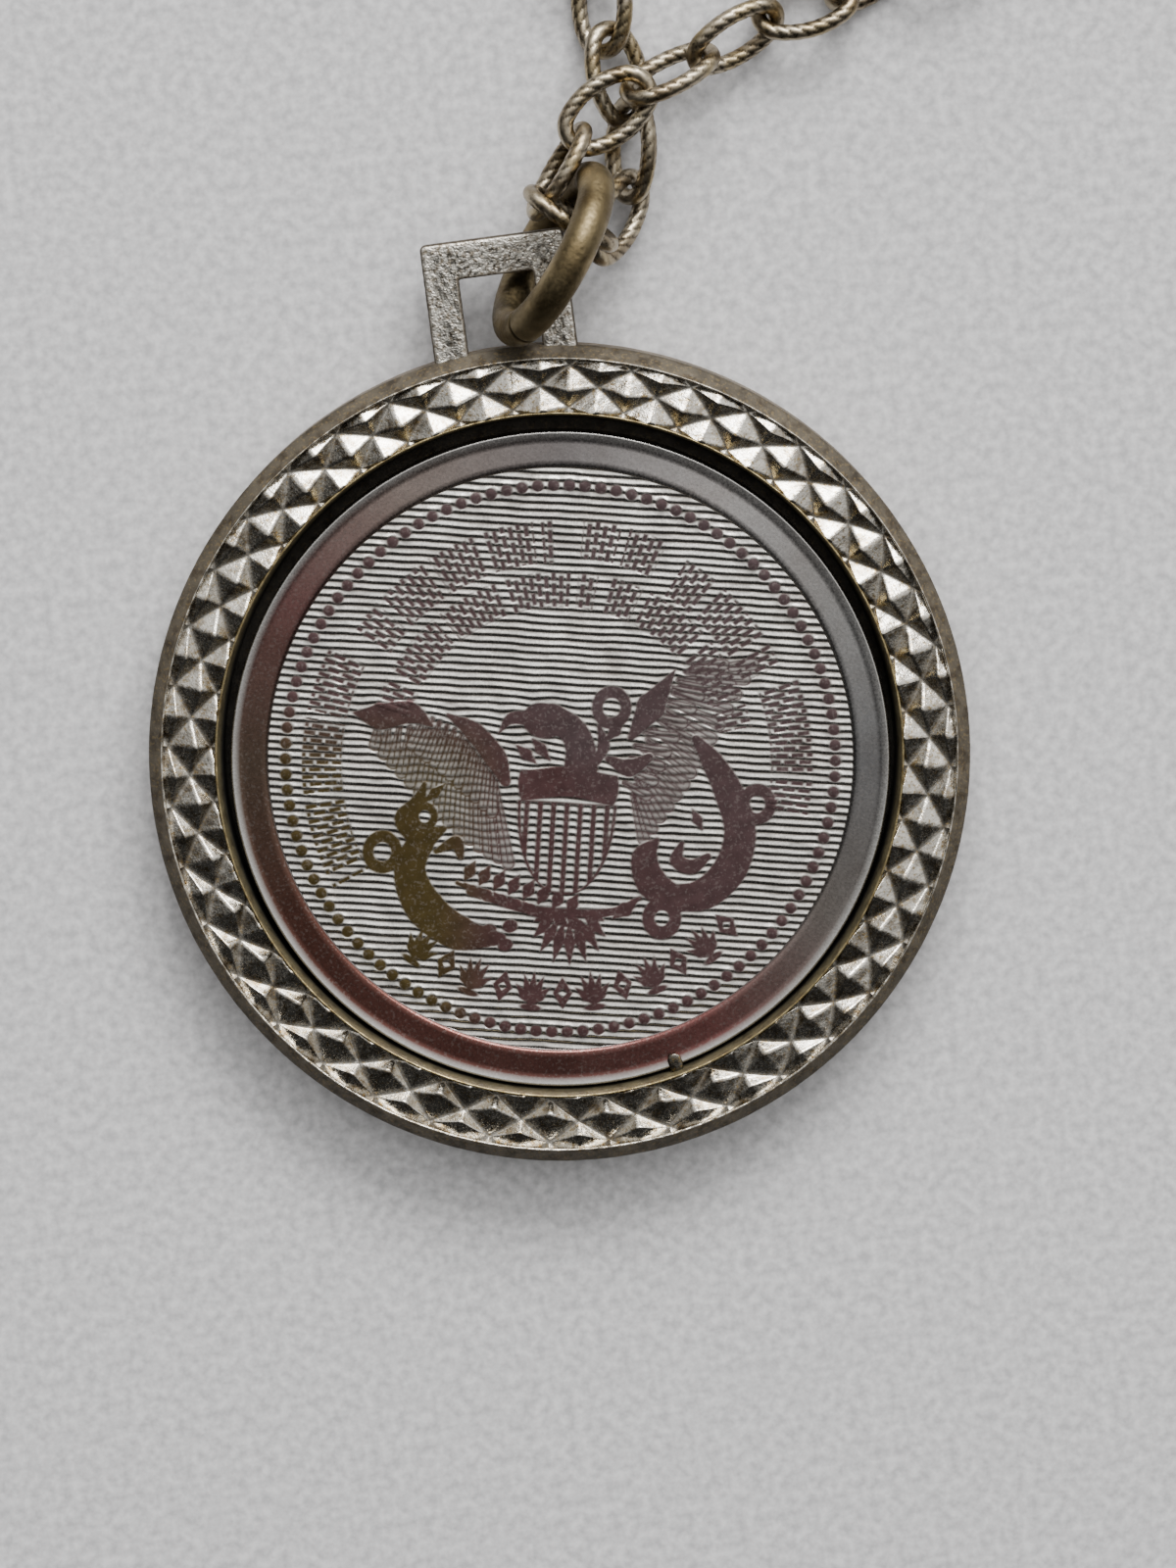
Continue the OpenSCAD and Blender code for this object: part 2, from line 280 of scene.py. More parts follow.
def metal(name, base=None, rough=(0.25, 0.45), grain=6000, bump=0.15, bump_size=0.00002,
          dark=(0.03, 0.022, 0.015), dark_at=(0.35, 0.62), patch=900, pits=0.0,
          specks=0.0, speck_colour=(0.36, 0.25, 0.09)):
    """Metal with patches of tarnish, fine grain, pits and a bump, all procedural.

    With no base colour it takes the mesh's tones, whose alpha says how clean the metal is."""
    mat = bpy.data.materials.new(name)
    mat.use_nodes = True
    t = mat.node_tree
    t.nodes.clear()
    place = node_of(t, "ShaderNodeTexCoord", {}).outputs["Object"]

    def both(operation, a, b):
        return node_of(t, "ShaderNodeMath", {0: a, 1: b}, operation=operation).outputs[0]

    def mix(blend_type, share, a, b):
        mixed = node_of(t, "ShaderNodeMix", {}, data_type="RGBA", blend_type=blend_type)
        wire(t, mixed, {0: share, 6: a, 7: b})
        return mixed.outputs[2]

    fine = noise_of(t, place, grain, 4)
    roughness, metallic = map_range(t, fine, rough, (0.3, 0.7)), 1.0
    if base is None:
        attribute = node_of(t, "ShaderNodeAttribute", {}, attribute_name="tone")
        colour, clean = attribute.outputs["Color"], attribute.outputs["Alpha"]
        roughness = both("ADD", roughness, map_range(t, clean, (0.45, 0.0)))
        metallic = map_range(t, clean, (0.25, 1.0))
    else:
        colour = (*base, 1)
    stain = ramp_of(t, noise_of(t, place, patch, 5), (dark_at[0], dark), (dark_at[1], (1, 1, 1)))
    colour = mix("MULTIPLY", 0.75, colour, stain)
    if specks:
        spots = ramp_of(t, noise_of(t, place, grain * 0.7, 2), (0.56, (0, 0, 0)), (0.64, (1, 1, 1)))
        amount = both("MULTIPLY", both("MULTIPLY", spots, specks), clean)
        colour = mix("MIX", amount, colour, (*speck_colour, 1))
    height = fine
    if pits:
        cells = node_of(t, "ShaderNodeTexVoronoi", {"Vector": place, "Scale": grain * 0.35})
        height = both("ADD", height, map_range(t, cells.outputs["Distance"], (-pits, 0), PIT_WIDTH))
    relief = node_of(t, "ShaderNodeBump", {"Strength": bump, "Distance": bump_size, "Height": height})
    surface = node_of(t, "ShaderNodeBsdfPrincipled", {
        "Base Color": colour, "Roughness": roughness, "Metallic": metallic, "Normal": relief.outputs[0]})
    node_of(t, "ShaderNodeOutputMaterial", {0: surface.outputs[0]})
    return mat


MAT_BEZEL = metal("bezel_silver", rough=(0.10, 0.34), grain=9000, bump=0.5, bump_size=0.00003,
                  dark=(0.36, 0.30, 0.23), dark_at=(0.34, 0.52), patch=1800, specks=0.7)
MAT_BAIL = metal("bail_silver", rough=(0.24, 0.42), grain=9000, bump=1.0, bump_size=0.00005,
                 dark=(0.30, 0.24, 0.17), dark_at=(0.36, 0.52), patch=4200)
MAT_COIN = metal("coin_silver", rough=(0.20, 0.38), grain=9000, bump=0.14, dark=(0.78, 0.74, 0.72),
                 dark_at=(0.25, 0.6), patch=420, specks=0.22, speck_colour=(0.42, 0.38, 0.36))
MAT_RING = metal("aged_brass", rough=(0.36, 0.58), grain=5000, bump=0.4, bump_size=0.00004,
                 dark=(0.35, 0.28, 0.2), dark_at=(0.3, 0.6), patch=500, pits=0.7)
MAT_CHAIN = metal("chain_silver", rough=(0.25, 0.45), grain=7000, bump=0.25,
                  dark=(0.35, 0.28, 0.2), dark_at=(0.32, 0.55), patch=700)
MAT_CLASP = metal("clasp_brass", (0.62, 0.5, 0.28), rough=(0.22, 0.4), grain=7000, bump=0.2,
                  dark=(0.45, 0.35, 0.22), dark_at=(0.3, 0.55), patch=600)
MAT_SPRING = metal("spring_steel", (0.6, 0.6, 0.58), rough=(0.2, 0.35), grain=7000, bump=0.15,
                   dark=(0.5, 0.5, 0.5), dark_at=(0.3, 0.55), patch=600)


def finish_piece(obj, mat, body, slot, *nodes):
    obj.data.materials.clear()
    obj.data.materials.append(mat)
    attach(obj, body)
    if nodes:
        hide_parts(*nodes)


# ---------------------------------------------------------------- bezel
SILVER = np.array([0.82, 0.785, 0.71])
BROWN = np.array([0.20, 0.165, 0.12])
TARNISH = np.array([0.125, 0.105, 0.075])
OLIVE = np.array([0.10, 0.085, 0.045])
# near-black painted shadow for the gap round the coin
POCKET_SHADOW = np.array([0.012, 0.011, 0.009])
BRASSY = np.array([0.55, 0.45, 0.24])


def lathe(profile, tones, steps):
    """A closed ring from a closed (r, z) profile; tones has a colour for each profile point."""
    profile = np.asarray(profile, float)
    angle = np.arange(steps) / steps * TAU
    r = np.repeat(profile[None, :, 0], steps, 0)
    z = np.repeat(profile[None, :, 1], steps, 0)
    a = np.repeat(angle[:, None], len(profile), 1)
    verts = np.stack([r * np.cos(a), r * np.sin(a), z], -1).reshape(-1, 3)
    faces = grid_faces(steps, len(profile), wrap_rows=True, wrap_cols=True)
    tone = np.repeat(np.asarray(tones, float)[None], steps, 0).reshape(-1, len(tones[0]))
    return verts, faces[:, ::-1], tone


def fine_profile(corners, tones, step=0.12):
    """Corner points joined by short steps, with the corners' colours shaded between."""
    points, colours = [], []
    for k, (p, c) in enumerate(zip(corners, tones)):
        q, d = corners[(k + 1) % len(corners)], tones[(k + 1) % len(corners)]
        p, q, c, d = (np.asarray(v, float) for v in (p, q, c, d))
        n = max(1, int(np.linalg.norm(q - p) / step))
        for i in range(n):
            points.append(p + (q - p) * i / n)
            colours.append(c + (d - c) * i / n)
    return np.array(points), np.array(colours)


GROOVES, ROWS, GROOVE_DEPTH, PEAK_LEAN = 40, 2.44, 0.55, 0.26
BAND_IN, BAND_OUT = 17.92, 20.64


def band_place(row, turn):
    """A place on the diamond band. turn counts half pitches, row runs -ROWS/2 to ROWS/2."""
    angle = turn / (2 * GROOVES) * TAU
    s = (row + ROWS / 2) / ROWS
    r = BAND_IN + (BAND_OUT - BAND_IN) * s
    return angle, r


def diamond_band(bag):
    """Pyramids left between two families of V-grooves, with a skirt and a floor under them."""
    half = ROWS / 2
    verts, faces, tones, key = [], [], [], {}

    def vertex(row, turn, height):
        turn %= 2 * GROOVES
        name = (round(row * 2000), round(turn * 2000) % (2 * GROOVES * 2000))
        if name not in key:
            angle, r = band_place(row, turn)
            key[name] = len(verts)
            z = BEZEL_T - 0.02 - GROOVE_DEPTH * (1 - height)
            verts.append((r * math.cos(angle), r * math.sin(angle), z))
            tones.append(height)
        return key[name]

    def facet(corners):
        """A flat facet in (row, turn, height), cut off at the band's edges, then cut up small."""
        for side in (1, -1):
            kept = []
            for p, q in zip(corners, corners[1:] + corners[:1]):
                inside_p, inside_q = side * p[0] <= half + 1e-9, side * q[0] <= half + 1e-9
                if inside_p:
                    kept.append(p)
                if inside_p != inside_q:
                    f = (side * half - p[0]) / (q[0] - p[0])
                    kept.append(tuple(a + (b - a) * f for a, b in zip(p, q)))
            corners = kept
            if len(corners) < 3:
                return
        for k in range(1, len(corners) - 1):
            a, b, c = corners[0], corners[k], corners[k + 1]
            n = 9
            def at(i, j):
                u, v = i / n, j / n
                return vertex(*(x + (y - x) * u + (w - x) * v for x, y, w in zip(a, b, c)))
            for i in range(n):
                for j in range(n - i):
                    faces.append((at(i, j), at(i + 1, j), at(i, j + 1)))
                    if i + j < n - 1:
                        faces.append((at(i + 1, j), at(i + 1, j + 1), at(i, j + 1)))

    for row in range(-2, 3):
        for k in range(GROOVES):
            turn = 2 * k + (row % 2)
            low_left = math.cos(turn * math.pi / GROOVES + math.radians(LAY_TURN - 240))
            lean = PEAK_LEAN + 0.24 * max(0.0, low_left)
            peak, left, right = (row - lean, turn, 1), (row, turn + 1, 0), (row, turn - 1, 0)
            outer, inner = (row + 1, turn, 0), (row - 1, turn, 0)
            for base in ((left, outer), (outer, right), (right, inner), (inner, left)):
                facet([peak, base[1], base[0]])
    verts = np.array(verts)
    height = np.array(tones)
    # hand-cut unevenness: some grooves go deeper than others, and the facets are grainy
    angle = np.arctan2(verts[:, 1], verts[:, 0])
    deeper = 0.05 * np.sin(angle * 3 + 1.1) + 0.04 * np.sin(angle * 7 + 0.4)
    verts[:, 2] += deeper * (height - 0.5)
    grain = wave_noise(verts, 0.55, 3, 3)
    verts[:, 2] += 0.016 * grain * np.clip(1.2 - height, 0.25, 1)
    verts[:, 0] += 0.012 * wave_noise(verts, 0.8, 5, 2)
    verts[:, 1] += 0.012 * wave_noise(verts, 0.8, 6, 2)
    verts[:, 2] = np.minimum(verts[:, 2], BEZEL_T - 0.004)
    valley = smoothstep(0.16, 0.0, height)
    tone = SILVER * (1 - 0.8 * valley[:, None]) + BROWN * 0.2 * valley[:, None]
    dirt = smoothstep(0.15, 0.75, wave_noise(verts, 2.2, 9, 3))
    tone = tone * (1 - 0.35 * dirt[:, None]) + BROWN * 0.35 * dirt[:, None]
    tone = np.column_stack([tone, 1 - 0.3 * valley])
    # the skirt drops from the open edges and a flat floor closes the shell
    edges = {}
    for f in faces:
        for a, b in zip(f, f[1:] + f[:1]):
            if a != b:
                edges[(a, b)] = edges.get((a, b), 0) + 1
    border = [(a, b) for (a, b) in edges if (b, a) not in edges]
    low = {}
    floor_z = BEZEL_T - GROOVE_DEPTH - 0.25
    extra, extra_faces = [], []
    for a, b in border:
        for k in (a, b):
            if k not in low:
                low[k] = len(verts) + len(extra)
                extra.append((verts[k, 0], verts[k, 1], floor_z))
        extra_faces.append((b, a, low[a], low[b]))
    bag.add(np.concatenate([verts, np.array(extra)]), list(faces) + extra_faces,
            np.concatenate([tone, np.tile([*BROWN, 0.5], (len(extra), 1))]))


def bezel_piece():
    bag = Bag()
    floor_z = BEZEL_T - GROOVE_DEPTH - 0.1
    corners = [
        (BAND_OUT + 0.10, BEZEL_T - 0.10), (BEZEL_R - 0.02, BEZEL_T - BEVEL),
        (BEZEL_R, BEZEL_T - BEVEL - 0.12), (BEZEL_R, BEVEL + 0.1), (BEZEL_R - 0.06, BEVEL - 0.06),
        (FACE_R + 0.05, 0.04), (FACE_R - 0.06, 0.0), (BACK_R + 0.1, 0.0), (BACK_R, 0.1),
        (BACK_R, FLANGE_T), (POCKET_R, FLANGE_T), (POCKET_R, COIN_TOP - 0.6),
        (FRONT_R - 0.19, COIN_TOP - 0.5), (FRONT_R, BEZEL_T - 0.22), (FRONT_R + 0.02, BEZEL_T - 0.09),
        (FRONT_R + 0.11, BEZEL_T - 0.11), (FRONT_R + 0.16, floor_z), (BAND_OUT - 0.05, floor_z),
        (BAND_OUT - 0.01, BEZEL_T - 0.12), (BAND_OUT + 0.04, BEZEL_T - 0.06)]
    # the pocket's floor and lower wall, round the coin, are painted near-black: painted shadow in the gap
    tones = [
        (*TARNISH * 0.8, 0.35), (*TARNISH * 0.6, 0.2), (*BROWN * 0.5, 0.2), (*BROWN, 0.2), (*BROWN, 0.2),
        (*BROWN * 1.6, 0.4), (*SILVER * 0.6, 0.8), (*SILVER * 0.5, 0.8), (*BROWN, 0.5), (*BROWN * 0.5, 0.5),
        (*POCKET_SHADOW, 0), (*POCKET_SHADOW, 0), (*POCKET_SHADOW, 0), (*OLIVE * 1.6, 0.3), (*BRASSY * 0.8, 0.8),
        (*BRASSY * 0.5, 0.6), (*BROWN * 0.3, 1), (*BROWN * 0.3, 1), (*SILVER, 1), (*SILVER, 1)]
    profile, shade = fine_profile(corners, tones)
    verts, faces, tone = lathe(profile, shade, 900)
    r = np.hypot(verts[:, 0], verts[:, 1])
    rim = (r > BAND_OUT - 0.03) & (verts[:, 2] > BEZEL_T - 0.3)
    verts[rim, 2] += np.minimum(0.05 * wave_noise(verts[rim], 0.5, 12, 3), 0.04)
    bevel = (r > BAND_OUT + 0.15)
    verts[bevel] *= 1 - 0.0006 * (0.5 + 0.5 * wave_noise(verts[bevel], 1.1, 13, 3))[:, None]
    lip = (r < FRONT_R + 0.2) & (verts[:, 2] > BEZEL_T - 0.3)
    verts[lip, 2] += 0.03 * wave_noise(verts[lip], 0.7, 14, 3)
    stain = (0.5 + 0.5 * wave_noise(verts, 1.8, 15, 3))[:, None]
    tone[:, :3] *= 0.75 + 0.5 * stain
    bag.add(verts, faces, tone)
    diamond_band(bag)
    burr(bag)
    return bag.make("bezel_band")


def blob(centre, size, turn, seed, rows=18, cols=24, power=0.6):
    """A rounded lump: a superellipsoid with a rough skin."""
    v = np.linspace(-math.pi / 2, math.pi / 2, rows)
    u = np.arange(cols) / cols * TAU
    vv, uu = np.meshgrid(v, u, indexing="ij")
    raise_to = lambda x: np.sign(x) * np.abs(x) ** power
    p = np.stack([raise_to(np.cos(vv)) * raise_to(np.cos(uu)), raise_to(np.cos(vv)) * raise_to(np.sin(uu)),
                  raise_to(np.sin(vv))], -1).reshape(-1, 3)
    p *= 1 + 0.06 * wave_noise(p, 0.9, seed, 2)[:, None]
    p = p * np.asarray(size) @ rot("Z", turn).T + np.asarray(centre)
    return p, grid_faces(rows, cols, wrap_cols=True)


def burr(bag):
    """The burr that is raised from the bezel's inner wall over the coin's edge."""
    a, r = math.radians(BURR_ANGLE), FRONT_R - 0.5
    p, faces = blob((r * math.cos(a), r * math.sin(a), COIN_TOP + 0.2), (0.5, 0.36, 0.13), BURR_ANGLE, 4)
    bag.add(p, faces, np.array([0.16, 0.15, 0.13]))


finish_piece(bezel_piece(), MAT_BEZEL, "pendant", "bezel_silver", "bezel_frame")


# ---------------------------------------------------------------- bail
BAIL_W, WINDOW_W, WINDOW_TOP, BAR_TOP, BAIL_T, BAIL_Z = 7.5, 3.9, 25.2, 27.2, 1.6, 2.4
BAIL_FOOT = 20.2


def bail_piece():
    """A square loop with softened edges: an outline and window swept through the thickness."""
    def rounded(points, radius, n=5):
        out = []
        for k, p in enumerate(points):
            a, b = np.array(points[k - 1], float), np.array(points[(k + 1) % len(points)], float)
            p = np.array(p, float)
            to_a, to_b = (a - p) / np.linalg.norm(a - p), (b - p) / np.linalg.norm(b - p)
            for i in range(n + 1):
                t = i / n
                out.append(p + radius * ((1 - t) ** 2 * to_a + t ** 2 * to_b))
        return np.array(out)

    w, s = BAIL_W / 2 - 0.02, WINDOW_W / 2
    outer = rounded([(-w, BAIL_FOOT), (w, BAIL_FOOT), (w, BAR_TOP - 0.03), (-w, BAR_TOP - 0.03)], 0.35)
    inner = rounded([(-s, BAIL_FOOT), (s, BAIL_FOOT), (s, WINDOW_TOP), (-s, WINDOW_TOP)], 0.18)

    def resample(loop, n):
        closed = np.vstack([loop, loop[:1]])
        d = np.r_[0, np.cumsum(np.linalg.norm(np.diff(closed, axis=0), axis=1))]
        at = np.linspace(0, d[-1], n, endpoint=False)
        return np.stack([np.interp(at, d, closed[:, k]) for k in (0, 1)], 1)

    n = 420
    outer, inner = resample(outer, n), resample(inner, n)
    sections = []
    edge = 0.22
    face_steps = 16

    def inset(loop, amount, sign):
        ahead = np.roll(loop, -1, 0) - np.roll(loop, 1, 0)
        normal = np.stack([ahead[:, 1], -ahead[:, 0]], 1)
        normal /= np.linalg.norm(normal, axis=1)[:, None]
        return loop - sign * amount * normal

    def z_loop(loop, z):
        return np.column_stack([loop, np.full(len(loop), z)])

    top, bottom = BAIL_Z + BAIL_T, BAIL_Z
    for t in range(5):
        a = t / 4 * math.pi / 2
        sections.append(z_loop(inset(outer, edge * (1 - math.sin(a)), 1), bottom + edge * (1 - math.cos(a))))
    for t in range(1, 8):
        sections.append(z_loop(outer, bottom + edge + (BAIL_T - 2 * edge) * t / 8))
    for t in range(5):
        a = t / 4 * math.pi / 2
        sections.append(z_loop(inset(outer, edge * (1 - math.cos(a)), 1), top - edge * (1 - math.sin(a))))
    o, i = sections[-1], z_loop(inset(inner, 0.08, -1), top)
    for t in range(1, face_steps):
        sections.append(o + (i - o) * t / face_steps)
    sections.append(i)
    for t in range(1, 9):
        sections.append(z_loop(inner, top - 0.08 - (BAIL_T - 0.16) * (t - 1) / 7))
    sections.append(z_loop(inset(inner, 0.08, -1), bottom))
    i, o = sections[-1], sections[0]
    for t in range(1, face_steps):
        sections.append(i + (o - i) * t / face_steps)
    verts = np.concatenate(sections)
    flat_top = verts[:, 2] > top - 0.01
    along_post = np.abs(verts[:, 0]) > WINDOW_W / 2
    stretch = np.where(along_post[:, None], [1, 0.35, 1], [0.45, 0.8, 1])
    hammer = wave_noise(verts * stretch, 0.34, 21, 3)
    verts[:, 2] -= np.where(flat_top, 0.03 * (0.5 + 0.5 * hammer), 0)
    push = 0.012 * wave_noise(verts, 0.5, 22, 3)
    verts[:, 0] -= push * np.sign(verts[:, 0])
    verts[:, 1] -= np.abs(push)
    faces = grid_faces(len(sections), n, wrap_rows=True, wrap_cols=True)
    # painted shade in the hammer dents
    dent_shade = smoothstep(0.3, -0.7, hammer)
    section = np.repeat(np.arange(len(sections)), n)
    across = (section - 17) / face_steps
    face = (across >= 0) & (across <= 1)
    # the sides, rounded edges and window walls are painted dark brown: painted shade
    tone = np.tile(BROWN * 0.45, (len(verts), 1))
    streak = smoothstep(0.15, 0.6, wave_noise(verts * stretch * [1.6, 1.6, 1], 0.30, 23, 2))
    shade = SILVER * (1 - 0.6 * dent_shade[:, None]) * (1 - 0.72 * streak[:, None])
    # painted highlight along the face's outer edge, painted shade along the window's edge
    painted_outer_highlight = smoothstep(0.16, 0.08, across)[:, None]
    inside = smoothstep(0.86, 0.97, across)[:, None]
    shade = shade * (1 - painted_outer_highlight) + SILVER * painted_outer_highlight
    shade = shade * (1 - inside) + BROWN * 0.5 * inside
    tone[face] = shade[face]
    # painted highlight on the rounded top edge
    painted_edge_highlight = (section >= 15) & (section < 17)
    tone[painted_edge_highlight] = SILVER
    clean = np.where(face & (across < 0.93) | painted_edge_highlight, 1.0, 0.35)
    return mesh_object("bail", verts, faces, True, np.column_stack([np.clip(tone, 0, 1), clean]))


finish_piece(bail_piece(), MAT_BAIL, "pendant", "bezel_silver")


# ---------------------------------------------------------------- coin
COIN_TURN = -11.0
LINE_PITCH, LINES_PER = 0.392, 8
FIELD_Z = COIN_TOP - FIELD_DROP


def capsule(p, a, b, ra, rb=None):
    """Signed distance from points to a tapered stroke from a to b."""
    rb = ra if rb is None else rb
    a, b = np.asarray(a, float), np.asarray(b, float)
    d = b - a
    t = np.clip(((p - a) @ d) / (d @ d), 0, 1)
    return np.linalg.norm(p - a - t[:, None] * d, axis=1) - (ra + (rb - ra) * t)


def stroke(p, points, widths):
    """Signed distance to a smooth stroke through the points, of changing half width."""
    points = np.asarray(points, float)
    n = len(points)
    t = np.linspace(0, n - 1, (n - 1) * 6 + 1)
    pad = np.vstack([2 * points[0] - points[1], points, 2 * points[-1] - points[-2]])
    i = np.minimum(t.astype(int), n - 2)
    f = (t - i)[:, None]
    p0, p1, p2, p3 = pad[i], pad[i + 1], pad[i + 2], pad[i + 3]
    curve = 0.5 * (2 * p1 + (p2 - p0) * f + (2 * p0 - 5 * p1 + 4 * p2 - p3) * f ** 2
                   + (3 * p1 - p0 - 3 * p2 + p3) * f ** 3)
    w = np.interp(t, np.arange(n), widths)
    best = np.full(len(p), 99.0)
    for k in range(len(curve) - 1):
        best = np.minimum(best, capsule(p, curve[k], curve[k + 1], w[k], w[k + 1]))
    return best


def leaf(p, root, tip, width):
    root, tip = np.asarray(root, float), np.asarray(tip, float)
    middle = root + (tip - root) * 0.45
    return np.minimum(capsule(p, root, middle, width * 0.25, width), capsule(p, middle, tip, width, 0.03))


def ellipse(p, centre, radii, turn=0):
    q = (p - np.asarray(centre)) @ rot("Z", -turn)[:2, :2].T
    k = np.linalg.norm(q / np.asarray(radii), axis=1)
    return (k - 1) * min(radii)


def plumage(p, rows):
    """Rows of overlapping feathers from a leading to a trailing edge: outline distance and inner lines."""
    mass, lines = np.full(len(p), 99.0), np.zeros(len(p))
    for lead, trail, count, width in rows:
        t = np.linspace(0, 1, count)
        places = []
        for edge in (np.asarray(lead, float), np.asarray(trail, float)):
            at = np.linspace(0, 1, len(edge))
            places.append(np.stack([np.interp(t, at, edge[:, k]) for k in (0, 1)], 1))
        for root, tip in zip(*places):
            d = capsule(p, root, tip, width * 0.5, width)
            shaft = capsule(p, root, tip, 0.07, 0.03)
            edge = np.maximum(smoothstep(0.14, 0.04, np.abs(d)), smoothstep(0.03, -0.03, shaft))
            lines = np.where(d < 0, edge, lines)
            mass = np.minimum(mass, d)
    return mass, lines


def device(p):
    """Bold shapes of a plain bird with spread wings, and the feathers of its wings."""
    eye = ellipse(p, (-1.25, 2.2), (0.16, 0.16))
    bold = [
        np.maximum(ellipse(p, (-1.0, 2.0), (1.15, 0.95), -10), -eye),
        stroke(p, [(-1.6, 2.1), (-2.7, 2.0), (-3.3, 1.2)], [0.45, 0.32, 0.05]),
        stroke(p, [(-0.6, 2.2), (0.5, 1.6), (1.0, 0.7), (1.1, -0.3)], [0.75, 0.75, 0.8, 0.9]),
        leaf(p, (-2.3, 0.6), (-1.2, -0.3), 0.34), leaf(p, (-1.5, 1.0), (-0.5, -0.1), 0.34),
        stroke(p, [(-10.9, 1.8), (-9.5, 1.7), (-8.0, 2.0), (-6.8, 1.4)], [0.08, 0.72, 0.6, 0.12]),
        stroke(p, [(-6.0, 2.0), (-4.6, 1.2), (-3.4, -0.1), (-2.8, -1.3)], [0.12, 0.55, 0.62, 0.3]),
        leaf(p, (3.6, 1.4), (5.7, 5.1), 0.78),
        stroke(p, [(2.5, 0.2), (3.6, -0.2), (4.6, 0.4)], [0.2, 0.5, 0.25]),
        stroke(p, [(1.9, 1.9), (2.2, 0.9), (1.9, 0.0)], [0.12, 0.36, 0.2]),
    ]
    left = [
        ([(-9.6, 1.2), (-7.0, 1.2), (-5.0, 0.6), (-3.4, -1.2)],
         [(-9.7, 0.2), (-8.0, -1.4), (-6.2, -3.2), (-4.2, -4.7), (-2.4, -5.6)], 15, 0.36),
        ([(-7.2, 1.9), (-5.2, 1.1), (-3.4, -0.6)], [(-7.8, 0.3), (-5.7, -1.2), (-3.4, -3.0)], 11, 0.32),
    ]
    right = [
        ([(3.9, -1.6), (4.2, 0.6), (5.2, 3.2), (6.6, 5.0)],
         [(4.6, -3.9), (6.4, -1.1), (7.9, 1.8), (9.7, 5.6)], 15, 0.36),
        ([(3.4, -1.0), (3.9, 1.2), (5.4, 4.0), (6.6, 5.4)],
         [(4.6, -1.6), (5.6, 1.0), (6.9, 3.6), (8.2, 5.5)], 11, 0.32),
    ]
    (mass_l, lines_l), (mass_r, lines_r) = plumage(p, left), plumage(p, right)
    return np.minimum.reduce(bold), np.minimum(mass_l, mass_r), np.where(mass_l < mass_r, lines_l, lines_r)


def shield(p):
    """Chief bar, outline and stripes of the plain shield, and the shield's whole outline."""
    x, y = p[:, 0] - 0.5, p[:, 1]
    chief = np.maximum(np.abs(x) - 2.65 + 0.25 * (y + 1.3) ** 2,
                       np.abs(y + 1.28 - 0.16 * np.cos(x * 1.2)) - 0.82)
    down = np.clip(-y - 2.0, 0, 9) / 5.1
    half = 2.5 * np.clip(1 - down ** 2.4, 0, 1) ** 0.5
    body = np.maximum(np.abs(x) - half, np.maximum(y + 2.2, -y - 7.0))
    stripe = np.abs((x / 0.70 + 0.5) % 1 - 0.5) * 0.70 - 0.15
    outline = np.abs(body) - 0.1
    return np.minimum(chief, np.minimum(np.maximum(body, stripe), np.maximum(outline, y + 2.2))), body


def hoop(p, centre, radius, width):
    return np.abs(ellipse(p, centre, (radius, radius * 1.1))) - width


def scrolls(p):
    left = [stroke(p, [(-7.0, -1.7), (-7.3, -2.7), (-8.0, -3.6), (-7.4, -4.6)], [0.15, 0.42, 0.5, 0.4]),
            stroke(p, [(-5.9, -4.0), (-7.0, -4.8), (-7.5, -6.4), (-6.6, -8.2), (-4.8, -9.4), (-2.6, -9.6)],
                   [0.2, 0.7, 0.85, 1.05, 0.95, 0.35]),
            hoop(p, (-9.0, -5.4), 0.75, 0.3), hoop(p, (-6.9, -3.4), 0.5, 0.22),
            stroke(p, [(-6.2, -5.2), (-5.2, -4.7), (-4.9, -5.4)], [0.15, 0.4, 0.2]),
            leaf(p, (-6.9, -2.6), (-5.9, -1.6), 0.3)]
    right = [stroke(p, [(7.0, 1.5), (7.9, 0.4), (8.9, -1.2), (9.6, -3.2), (9.2, -5.2), (7.9, -6.6),
                        (6.3, -6.9)], [0.25, 0.6, 0.8, 0.85, 0.9, 0.85, 0.7]),
             stroke(p, [(6.5, -7.0), (5.2, -6.2), (4.7, -4.9), (5.3, -3.9)], [0.7, 0.85, 0.7, 0.15]),
             hoop(p, (10.4, -1.7), 0.7, 0.3), hoop(p, (5.8, -8.0), 0.7, 0.34), hoop(p, (2.5, 2.9), 0.75, 0.3),
             stroke(p, [(8.0, -4.6), (7.2, -5.2), (6.4, -4.9), (6.6, -4.0)], [0.2, 0.42, 0.4, 0.15]),
             leaf(p, (3.1, 2.2), (2.3, 1.1), 0.35), leaf(p, (4.4, -7.2), (3.2, -8.2), 0.4),
             leaf(p, (7.6, -3.2), (7.0, -2.1), 0.3)]
    return np.minimum.reduce(left), np.minimum.reduce(right)


def sprays(p):
    """Leaves under the shield, and a fan of tail feathers."""
    parts = []
    for k in range(8):
        x, y = -4.6 + 0.78 * k, -6.1 - 0.20 * k
        parts.append(leaf(p, (x, y - 0.5), (x + 0.5, y + 0.55), 0.34))
        parts.append(leaf(p, (x, y - 0.7), (x + 0.9, y - 1.5), 0.34))
        parts.append(ellipse(p, (x + 0.2, y - 0.2), (0.26, 0.22)))
    parts.append(stroke(p, [(-5.0, -6.8), (-1.6, -7.9), (2.8, -7.9), (4.6, -7.0)], [0.12, 0.26, 0.24, 0.12]))
    for k in range(9):
        a = math.radians(214 + 15 * k)
        away = np.array([math.cos(a), math.sin(a)])
        middle = np.array([0.9, -7.4])
        parts.append(leaf(p, middle + 1.2 * away, middle + (3.4 - 0.08 * (k - 4) ** 2) * away, 0.32))
    for x, y in ((-3.2, -9.2), (-2.3, -9.9), (-2.1, -8.9)):
        parts.append(ellipse(p, (x, y), (0.42, 0.36), 20))
    return np.minimum.reduce(parts)


